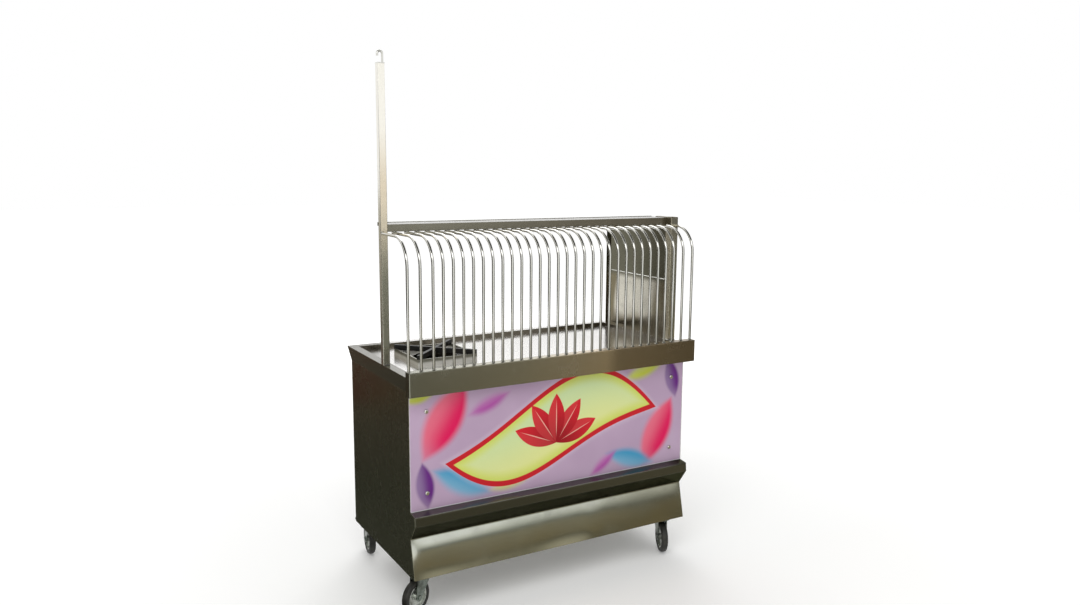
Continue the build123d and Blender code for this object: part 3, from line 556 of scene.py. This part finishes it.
def swoosh(finish, colour):
    """Lime band laid over a colour: it follows a sine wave, narrows with the square of the distance from
    the middle, and has red piping along its edges and a pale glow outside them."""
    here = finish.here()
    line = (here.x * SWOOSH_TURN + SWOOSH_LEAD).math("SINE") * SWOOSH_RISE
    above = here.z - (panel_low.z + panel_high.z) / 2 - line
    inside = SWOOSH_HALF - here.x * here.x * SWOOSH_TAPER - above.math("ABSOLUTE")
    glow = finish.step(inside + SWOOSH_GLOW, 0.0, SWOOSH_SOFT) * 0.55
    colour = finish.mix(glow, colour, shade("e6d6e2"))
    colour = finish.mix(finish.step(inside + SWOOSH_PIPING, 0.0, PRINT_EDGE), colour, shade("c41a28"))
    lime = finish.mix(finish.step(above, *SWOOSH_SHADE), shade("dde092"), shade("c6daa4"))
    lime = finish.mix(finish.step(inside, 0.0, SWOOSH_SOFT), shade("cdd666"), lime)
    return finish.mix(finish.step(inside, 0.0, PRINT_EDGE), colour, lime)


def sprig(finish, colour):
    """Red leaves laid over a colour, fanned out from one foot, lighter at their tips and on one side, each
    with a pale vein."""
    for turn in SPRIG_TURNS:
        way = math.radians(turn)
        centre = (SPRIG_FOOT[0] + SPRIG_HALF * math.cos(way), SPRIG_FOOT[1] + SPRIG_HALF * math.sin(way))
        mask, along, across = leaf(finish, centre, turn, (SPRIG_HALF, SPRIG_WIDTH), 0.05)
        vein = leaf(finish, centre, turn, (VEIN_HALF, VEIN_WIDTH), 0.5)[0]
        red = finish.mix(finish.step(along, -1.0, 1.0), shade("96101e"), shade("d01c2c"))
        red = finish.mix(finish.step(across, 0.0, 0.12) * 0.4, red, shade("d8484a"))
        colour = finish.mix(mask, colour, red)
        colour = finish.mix(vein * 0.8, colour, shade("f0b8a6"))
    return colour


def panel_print():
    """Printed front: a swoosh and a sprig on a lavender ground among soft leaves, with pale cut edges."""
    finish = new_finish("panel_print")
    here = finish.here()
    ground = finish.mix(finish.cloud(3.5, 2.0), shade("a58ba6"), shade("c6aec6"))
    printed = sprig(finish, swoosh(finish, soft_leaves(finish, ground)))
    ends = finish.step(here.x.math("ABSOLUTE") - panel_high.x, *PANEL_END_FADE)
    foot = finish.step(panel_low.z - here.z, *PANEL_FOOT_FADE)
    return finish.surface(
        Base_Color=finish.mix(ends.math("MAXIMUM", foot), printed, shade("d9d6dc")),
        Roughness=0.12 * finish.cloud(14.0, 4.0) + 0.16,
        Specular_IOR_Level=0.25,
        Coat_Weight=0.15,
        Coat_Roughness=0.08,
        Normal=finish.bump(finish.cloud(5.0, 1.0) * 0.0007),
    )


def add_object(name, data):
    """New object at the origin that shows a mesh, a lamp or a camera."""
    added = bpy.data.objects.new(name, data)
    bpy.context.scene.collection.objects.link(added)
    return added


def solid(name, loops, ring=False):
    """Closed mesh from loops of points, an array (copies, stations, points, 3): each loop is joined to the
    next, the last to the first in a ring, and otherwise the two end loops are capped."""
    index = np.arange(loops[..., 0].size).reshape(loops.shape[:3])
    beside = np.roll(index, -1, axis=2)
    stop = None if ring else -1
    far = np.roll(index, -1, axis=1)[:, :stop]
    far_beside = np.roll(beside, -1, axis=1)[:, :stop]
    quads = np.stack([index[:, :stop], beside[:, :stop], far_beside, far], axis=-1)
    faces = quads.reshape(-1, 4).tolist()
    if not ring:
        faces += index[:, 0].tolist() + index[:, -1].tolist()
    mesh = bpy.data.meshes.new(name)
    mesh.from_pydata(loops.reshape(-1, 3).tolist(), [], faces)
    shell = bmesh.new()
    shell.from_mesh(mesh)
    bmesh.ops.recalc_face_normals(shell, faces=shell.faces)
    shell.to_mesh(mesh)
    shell.free()
    mesh.shade_smooth()
    mesh.set_sharp_from_angle(angle=CREASE)
    return add_object(name, mesh)


def points(x, y, z):
    """One array of points from three arrays of coordinates that fit together."""
    return np.stack(np.broadcast_arrays(x, y, z), axis=-1)


def turns(count):
    """Angles that go once round in even steps."""
    return np.linspace(0.0, 2 * math.pi, count, endpoint=False)


def fillet():
    """Hollow quarter arc of a weld with legs of 1, from a root just inside the metal: how far each point
    stands out from the upright part and how far it rises above the level one."""
    arc = np.linspace(math.pi / 2, 0.0, 5)
    out = np.insert(1.0 - np.sin(arc), 0, -0.1)
    rise = np.insert(1.0 - np.cos(arc), 0, -0.05)
    return out, rise


def wavy_skirt():
    """Skirt sheet: the straight slope from its flange to its foot, pushed by a wave sin(2 pi s) down the
    slope that dies away towards the right, by a hump 4s(1-s) that is full at both ends and flat in the
    middle, by one dent under the ledge, and by a foot that wanders in and out, all of it fading out at the
    two ends."""
    down = np.linspace(0.0, 1.0, 40)
    along = np.linspace(skirt_low.x, skirt_high.x, 240)
    x, s = np.meshgrid(along, down, indexing="ij")
    top_y = skirt_high.y - SHEET
    slope_top = skirt_high.z - SKIRT_FLANGE
    fade = 1.0 - np.abs(x / skirt_high.x) ** 24
    roll = SKIRT_ROLL * (0.8 - 0.85 * x + 0.22 * np.sin(11.0 * x + 0.5))
    bulge = SKIRT_BULGE * np.abs(np.sin(2.0 * x))
    dent = SKIRT_DENT * np.exp(-((x - DENT_PLACE) / DENT_WIDTH) ** 2) * np.sin(math.pi * s)
    foot = SKIRT_FOOT * (np.sin(9.0 * x + 1.2) + 0.6 * np.sin(21.0 * x + 0.4))
    push = roll * np.sin(2.0 * math.pi * s) + bulge * 4.0 * s * (1.0 - s) + dent + foot * s * s
    y = top_y + (skirt_low.y - top_y) * s - push * fade
    z = slope_top + (skirt_low.z - slope_top) * s
    flange = points(along, top_y, skirt_high.z)[:, None]
    outer = np.concatenate([flange, points(x, y, z)], axis=1)
    inner = outer[:, ::-1] + np.array([0.0, SHEET, 0.0])
    return solid("wavy_skirt", np.concatenate([outer, inner], axis=1)[None])


def rod_places():
    """Middle of each rod's foot along the counter, read from the rods' lowest points."""
    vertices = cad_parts["guard_rods"].data.vertices
    spots = np.empty(3 * len(vertices), dtype=np.float32)
    vertices.foreach_get("co", spots)
    spots = spots.reshape(-1, 3).astype(float)
    feet = np.sort(spots[spots[:, 2] < apron_high.z + ROD_FOOT, 0])
    groups = np.split(feet, np.nonzero(np.diff(feet) > ROD_R)[0] + 1)
    return np.array([(group[0] + group[-1]) / 2 for group in groups])


def rod_welds():
    """Fillet weld round each rod's foot: a hollow quarter arc from rod to apron, turned round the rod, with
    a leg that ripples."""
    out, rise = fillet()
    turn = turns(20)[None, :, None]
    x = rod_places()[:, None, None]
    middle = (apron_low.y + apron_high.y) / 2
    leg = WELD_LEG + WELD_RIPPLE * np.sin(7 * turn + 40 * x)
    radius = ROD_R + leg * out
    loops = points(x + radius * np.cos(turn), middle + radius * np.sin(turn), apron_high.z + leg * rise)
    return solid("rod_welds", loops, ring=True)


def rail_tacks():
    """Tack under the rail at each rod: a circle that swells and closes again along the rail's lower front
    edge."""
    span = np.linspace(-1.0, 1.0, 11)
    turn = turns(10)
    thick = TACK_R * np.sqrt(np.clip(1.02 - span ** 2, 0.02, 1.0))[None, :, None]
    x = (rod_places()[:, None] + TACK_LENGTH / 2 * span)[:, :, None]
    lean = (rail_right_y - rail_left_y) / (rail_high.x - rail_low.x)
    y = rail_left_y + lean * (x - rail_low.x)
    loops = points(x, y + thick * np.cos(turn), rail_low.z + thick * np.sin(turn))
    return solid("rail_tacks", loops)


def post_welds():
    """Bead round three sides of the two posts' feet: a hollow arc carried along a square path."""
    out, rise = fillet()
    middle = np.array([(mast_low + mast_high) / 2, (post_low + post_high) / 2])[:, None, None, :]
    width = np.array([mast_high.x - mast_low.x, post_high.x - post_low.x])[:, None, None]
    start = np.array([0.0, math.pi])[:, None, None]
    sweep = start + np.radians(np.linspace(-128.0, 128.0, 61))[None, :, None]
    square = np.maximum(np.abs(np.cos(sweep)), np.abs(np.sin(sweep)))
    leg = WELD_LEG + WELD_RIPPLE * np.sin(30.0 * sweep)
    radius = (width / 2 + leg * out) / square
    loops = points(
        middle[..., 0] + radius * np.cos(sweep),
        middle[..., 1] + radius * np.sin(sweep),
        worktop_high.z + leg * rise,
    )
    return solid("post_welds", loops)


def tray_hem():
    """Rolled hem along the tray's back edge: a circle carried straight from its left end to its right."""
    turn = turns(12)
    x = np.array([tray_low.x, tray_high.x])[:, None]
    y = np.array([tray_high.y, tray_low.y + TRAY_DEPTH])[:, None] - HEM_R
    loops = points(x, y + HEM_R * np.cos(turn), tray_high.z + HEM_R * np.sin(turn))
    return solid("tray_hem", loops[None])


def guard_seam():
    """Seam across the side guard's inner face: a circle carried level from the right post to the back."""
    turn = turns(12)
    y = np.array([guard_low.y, guard_high.y - SHEET])[:, None]
    loops = points(guard_high.x - SHEET + SEAM_R * np.cos(turn), y, SEAM_HEIGHT + SEAM_R * np.sin(turn))
    return solid("guard_seam", loops[None])


def dress(piece, material, slot, body, *replaced):
    """Give a new piece its finish, the body it rides on and the nodes it stands for; its slot is not used.
    """
    piece.data.materials.append(material)
    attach(piece, body)
    if replaced:
        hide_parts(*replaced)


def flat_face(name, corners):
    """Object with one flat face through four corners."""
    mesh = bpy.data.meshes.new(name)
    mesh.from_pydata(corners, [], [(0, 1, 2, 3)])
    return add_object(name, mesh)


def upright(x0, y0, x1, y1, z0, z1):
    """Corners of a card that stands on the line from one point of the floor to another."""
    return [(x0, y0, z0), (x1, y1, z0), (x1, y1, z1), (x0, y0, z1)]


def lying(x0, y0, x1, y1, z):
    """Corners of a level card."""
    return [(x0, y0, z), (x1, y0, z), (x1, y1, z), (x0, y1, z)]


def mirror_card(name, corners, low, high):
    """Flat card through four corners that only mirrors see: one colour at its foot and another at its top,
    with slow clouds between them, or clouds alone where it lies."""
    card = flat_face(name, corners)
    finish = new_finish(name)
    share = finish.cloud(1.1, 1.0)
    foot, top = corners[0][2], corners[2][2]
    if top > foot:
        share = finish.step((finish.here().z - foot) / (top - foot) + share * 0.4, 0.2, 1.2)
    glow = finish.node("ShaderNodeEmission", {"Color": finish.mix(share, shade(low), shade(high))})
    finish.node("ShaderNodeOutputMaterial", {"Surface": glow})
    card.data.materials.append(finish.owner)
    card.visible_camera = False
    card.visible_diffuse = False
    card.visible_shadow = False
    card.visible_transmission = False


def white_sky():
    """White surround, dimmer as a light than as it is seen, straight, in a mirror or through glass."""
    world = bpy.data.worlds.new("studio")
    bpy.context.scene.world = world
    finish = Finish(world)
    seen = finish.node("ShaderNodeLightPath", output="Is Camera Ray")
    mirror = Wire(finish, seen.socket.node.outputs["Is Glossy Ray"])
    clear = Wire(finish, seen.socket.node.outputs["Is Transmission Ray"])
    shown = seen.math("MAXIMUM", mirror).math("MAXIMUM", clear)
    level = finish.node("ShaderNodeMapRange", {"Value": shown, "To Min": 0.62, "To Max": 1.0})
    sky = finish.node("ShaderNodeBackground", {"Color": WHITE, "Strength": level})
    finish.node("ShaderNodeOutputWorld", {"Surface": sky})


def pale_floor():
    """Pale floor that glows more with the distance, so that its far part is lost in the white."""
    floor = flat_face("floor", lying(-FLOOR_REACH, -FLOOR_REACH, FLOOR_REACH, FLOOR_REACH, 0.0))
    finish = new_finish("pale_floor")
    away = finish.node("ShaderNodeVectorMath", {0: finish.place()}, output="Value", operation="LENGTH")
    floor.data.materials.append(finish.surface(
        Base_Color=finish.mix(finish.cloud(0.6), shade("f1f1f0"), shade("f6f6f5")),
        Roughness=0.9,
        Emission_Color=finish.mix(finish.step(away, 0.8, 4.5), GLOW_NEAR, GLOW_FAR),
        Emission_Strength=1.0,
    ))


def soft_lamps():
    """Two wide lamps, each turned to the point that it aims at."""
    for name, place, aim, power in LAMPS:
        lamp = bpy.data.lights.new(name, "AREA")
        lamp.size = LAMP_SIZE
        lamp.energy = power
        holder = add_object(name, lamp)
        holder.location = place
        holder.rotation_euler = (Vector(aim) - Vector(place)).to_track_quat("-Z", "Y").to_euler()


def mirror_cards():
    """Cards round the counter, most of them dark, that only the metal sees."""
    floor_cloth = [
        (0.3, -4.5, CLOTH_HEIGHT),
        (5.5, -4.5, CLOTH_HEIGHT),
        (5.5, -0.5, CLOTH_HEIGHT),
        (-0.7, -0.5, CLOTH_HEIGHT),
    ]
    mirror_card("left_wall", upright(-3.2, 1.3, -0.45, 1.3, 0.0, 1.4), "45433a", "675f52")
    mirror_card("left_cloth", lying(-3.2, -0.6, -0.62, 1.3, CLOTH_HEIGHT), "3b3c32", "4a4a41")
    mirror_card("left_screen", upright(-2.3, -1.6, -2.3, 1.3, 0.7, 1.9), "1c1c18", "34342e")
    mirror_card("right_screen", upright(2.0, -2.2, 2.4, 1.4, 0.6, 1.9), "1c1c18", "34342e")
    mirror_card("left_red", upright(-1.07, 1.29, -0.9, 1.29, 0.36, 0.64), "4e2019", "583026")
    mirror_card("left_light", upright(-1.22, 1.29, -0.98, 1.29, 0.8, 1.45), "8d8a7d", "e0dccd")
    mirror_card("left_tan", upright(-1.32, 1.28, -1.09, 1.28, 0.26, 0.44), "4a3f2e", "574c36")
    mirror_card("back_screen", upright(-0.5, 2.6, 4.5, 2.6, 0.0, 1.25), "2a2a26", "4a4a44")
    mirror_card("front_cloth", floor_cloth, "827c68", "9a927c")
    mirror_card("front_screen", upright(0.3, -4.6, 5.5, -4.6, 0.0, 0.85), "40433a", "e6e7de")
    mirror_card("top_screen", lying(-2.5, -2.4, 3.5, 0.2, 3.4), "2a2a26", "55554e")


def photo_camera():
    """Camera that stands and looks as the photograph's did."""
    yaw, pitch, roll = (math.radians(a) for a in (CAMERA_YAW, CAMERA_PITCH, CAMERA_ROLL))
    ahead = Vector((math.sin(yaw) * math.cos(pitch), math.cos(yaw) * math.cos(pitch), -math.sin(pitch)))
    level = Vector((math.cos(yaw), -math.sin(yaw), 0.0))
    plumb = level.cross(ahead)
    aside = level * math.cos(roll) + plumb * math.sin(roll)
    above = plumb * math.cos(roll) - level * math.sin(roll)
    data = bpy.data.cameras.new("photo_camera")
    data.sensor_fit = "HORIZONTAL"
    data.sensor_width = CAMERA_SENSOR
    data.lens = CAMERA_LENS
    camera = add_object("photo_camera", data)
    turned = Matrix((aside, above, -ahead)).transposed().to_4x4()
    camera.matrix_world = Matrix.Translation(CAMERA_PLACE) @ turned
    bpy.context.scene.camera = camera


def paint(material, *nodes):
    """Put one finish on carried-over nodes."""
    for name in nodes:
        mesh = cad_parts[name].data
        mesh.materials.clear()
        mesh.materials.append(material)


bpy.context.scene.view_settings.view_transform = "Standard"
photo_camera()
white_sky()
pale_floor()
soft_lamps()
mirror_cards()

inner_nodes = [f"leg_{row}_{end}" for row in ROWS for end in ENDS]
inner_nodes += [f"{level}_rail_{side}" for level in ("bottom", "top") for side in (*ROWS, *ENDS)]
inner_nodes += ["front_backing_sheet", "bottom_deck", "control_strip"]
# The rods' darker foot colour is a painted reflection
chrome = rod_chrome("rod_chrome", "96948b")
zinc_finish = zinc()
weld_finish = steel("weld_bead", inner_tone, 0.3, dents=0.0)
rail_finish = steel("rail_steel", rail_tone, 0.26, dents=0.0, grain=(1.0, 30.0, 30.0))
skirt_finish = steel("skirt_steel", skirt_tone, 0.17, dents=0.0002)
ledge_finish = steel("ledge_steel", ledge_tone, 0.15, dents=0.0003, rim=shade("8c8c8c"), ease=LEDGE_ROUND)

paint(steel("side_steel", side_tone, 0.26, dents=0.0012), "left_side_panel", "right_side_panel")
paint(steel("apron_steel", apron_tone, 0.24, dents=0.0004, grain=(30.0, 1.0, 1.0)), "front_apron")
paint(ledge_finish, "front_ledge")
paint(steel("worktop_steel", worktop_tone, 0.18, dents=0.0005, worn=0.5), "worktop", "drip_pan")
paint(steel("tray_steel", tray_tone, 0.2, dents=0.0004), "guard_tray")
paint(steel("mast_steel", mast_tone, 0.26, dents=0.0, grain=(30.0, 30.0, 1.0), worn=0.3), "mast")
paint(rail_finish, "guard_rail", "tray_end_bar")
paint(steel("post_steel", post_tone, 0.26, dents=0.0, grain=(30.0, 30.0, 1.0)), "right_post")
paint(steel("guard_steel", guard_tone, 0.2, dents=0.0022), "right_guard_panel")
paint(steel("inner_steel", inner_tone, 0.42, metal=0.55), *inner_nodes)
paint(steel("frame_steel", frame_tone, 0.3, dents=0.0, worn=0.6), "support_frame")
paint(chrome, "guard_rods", "mast_hook")
paint(rod_chrome("cap_chrome", "e4e3de"), "panel_screws")
paint(panel_print(), "front_print_panel")
paint(cast_iron(), "burner_head", "burner_body", "pan_support")
paint(brass(), "gas_valve", "gas_inlet", "valve_stem")
paint(knob_plastic(), "gas_knob")
paint(zinc_finish, "caster_pads", "caster_plates", "king_pins", "caster_studs")
paint(zinc_finish, *[f"caster_{part}_{corner}" for part in ("fork", "axle") for corner in CORNERS])
paint(hub_alloy(), *[f"wheel_hub_{corner}" for corner in CORNERS])
paint(tyre_rubber(), *[f"tyre_{corner}" for corner in CORNERS])

dress(wavy_skirt(), skirt_finish, "steel_bright", "counter", "front_skirt")
dress(rod_welds(), weld_finish, "polished_rod", "counter")
dress(rail_tacks(), weld_finish, "steel_tube", "counter")
dress(post_welds(), weld_finish, "steel_tube", "counter")
dress(tray_hem(), rail_finish, "steel_bright", "counter")
dress(guard_seam(), chrome, "steel_bright", "counter")
